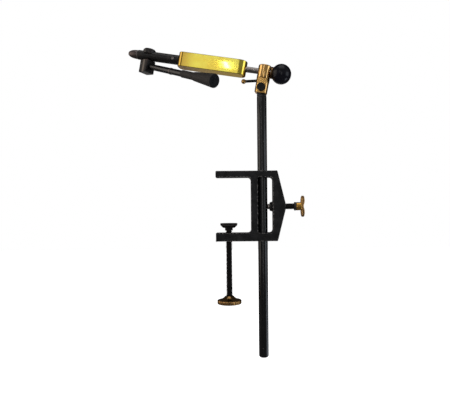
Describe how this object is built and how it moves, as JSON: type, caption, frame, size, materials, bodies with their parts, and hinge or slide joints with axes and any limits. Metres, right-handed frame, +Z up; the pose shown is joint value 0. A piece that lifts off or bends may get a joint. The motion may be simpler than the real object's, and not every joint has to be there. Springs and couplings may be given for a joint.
{
  "type": "fly tying vise",
  "caption": "Rotary-head fly tying vise on a C-clamp, with a brass head bar, cam-lever jaws, ball knob and sliding stem.",
  "frame": {"origin": "where the clamp screw's axis meets the table face, the underside of the top arm", "axes": "+Z up along the stem, +X from the throat towards the stem and the wing, +Y away from the tyer"},
  "size_m": [0.1762, 0.076, 0.3088],
  "materials": {
    "clamp_paint": "black textured paint on a casting",
    "black_steel": "black oxide on steel",
    "gloss_steel": "glossy black enamel",
    "jaw_steel": "tempered tool steel, dark grey brown",
    "bright_steel": "ground steel",
    "bar_brass": "polished brass",
    "turned_brass": "turned brass",
    "knob_brass": "turned brass, a little dulled",
    "collar_bronze": "dark bronze",
    "ball_plastic": "glossy black moulding",
    "grip_rubber": "matt dark grey rubber",
    "plug_plastic": "white nylon"
  },
  "bodies": {
    "clamp": {"clamp_frame": "clamp_paint"},
    "pad": {"clamp_pad": "black_steel"},
    "screw": {"clamp_screw": "black_steel", "clamp_knob": "knob_brass"},
    "nose": {"lock_nose": "bright_steel"},
    "lock": {"lock_screw": "black_steel", "lock_collar": "black_steel", "lock_wing": "knob_brass"},
    "stem": {"stem_rod": "gloss_steel"},
    "swivel": {"stem_tongue": "gloss_steel"},
    "housing": {"pivot_housing": "turned_brass", "pivot_bolt": "gloss_steel", "pivot_nut": "black_steel", "front_bush": "collar_bronze", "rear_bush": "collar_bronze", "brake_plug": "plug_plastic"},
    "drag": {"drag_cam": "black_steel", "drag_lever": "gloss_steel", "drag_ball": "turned_brass"},
    "rotor": {"drive_shaft": "bright_steel", "thrust_collar": "collar_bronze", "ball_knob": "ball_plastic", "knob_insert": "turned_brass", "head_bar": "bar_brass", "shaft_grub_screw": "black_steel", "sleeve_core": "bright_steel", "jaw_sleeve": "black_steel", "sleeve_grub_screw": "bright_steel", "jaw_pin": "bright_steel", "jaw_spring": "bright_steel", "cam_cap": "black_steel"},
    "cam": {"cam_shaft": "bright_steel", "cap_screw": "black_steel", "cam_block": "black_steel", "lever_rod": "gloss_steel", "lever_ferrule": "bright_steel", "lever_grip": "grip_rubber"},
    "jaw_near": {"near_jaw": "jaw_steel"},
    "jaw_far": {"far_jaw": "jaw_steel"}
  },
  "joints": [
    {"name": "pad_slide", "type": "slide", "parent": "clamp", "child": "pad", "axis": [0, 0, 1], "range_m": [-0.002, 0.0435]},
    {"name": "screw_turn", "type": "hinge", "parent": "pad", "child": "screw", "pos_m": [0, 0, -0.08], "axis": [0, 0, 1], "range_deg": [-567, 12331]},
    {"name": "nose_slide", "type": "slide", "parent": "clamp", "child": "nose", "axis": [1, 0, 0], "range_m": [0, 0.0025]},
    {"name": "lock_turn", "type": "hinge", "parent": "nose", "child": "lock", "pos_m": [0.05, 0, -0.0286], "axis": [1, 0, 0], "range_deg": [0, 1126]},
    {"name": "stem_height", "type": "slide", "parent": "clamp", "child": "stem", "axis": [0, 0, 1], "range_m": [-0.03, 0.1]},
    {"name": "head_swivel", "type": "hinge", "parent": "stem", "child": "swivel", "pos_m": [0.03326, 0, 0.07], "axis": [0, 0, 1], "continuous": true},
    {"name": "head_tilt", "type": "hinge", "parent": "swivel", "child": "housing", "pos_m": [0.03326, 0, 0.0876], "axis": [0.1392, 0.9903, 0], "range_deg": [-35, 50]},
    {"name": "drag_turn", "type": "hinge", "parent": "housing", "child": "drag", "pos_m": [0.0362, 0.00767, 0.09743], "axis": [-0.1392, -0.9903, 0], "range_deg": [0, 70]},
    {"name": "head_spin", "type": "hinge", "parent": "housing", "child": "rotor", "pos_m": [0.03616, -0.00041, 0.10323], "axis": [0.9734, -0.1368, -0.184], "continuous": true},
    {"name": "cam_turn", "type": "hinge", "parent": "rotor", "child": "cam", "pos_m": [-0.08016, 0.01594, 0.12521], "axis": [-0.1822, 0.0256, -0.9829], "range_deg": [0, 90]},
    {"name": "near_jaw_open", "type": "hinge", "parent": "rotor", "child": "jaw_near", "pos_m": [-0.08503, 0.01662, 0.12613], "axis": [0.1822, -0.0256, 0.9829], "range_deg": [0, 2.6]},
    {"name": "far_jaw_open", "type": "hinge", "parent": "rotor", "child": "jaw_far", "pos_m": [-0.08503, 0.01662, 0.12613], "axis": [-0.1822, 0.0256, -0.9829], "range_deg": [0, 2.6]}
  ],
  "couplings": [
    {"joint": "screw_turn", "follows": "pad_slide", "rad_per_m": 4947.4},
    {"joint": "lock_turn", "follows": "nose_slide", "rad_per_m": 7854},
    {"joint": "near_jaw_open", "follows": "cam_turn", "ratio": 0.027778},
    {"joint": "far_jaw_open", "follows": "cam_turn", "ratio": 0.027778}
  ]
}
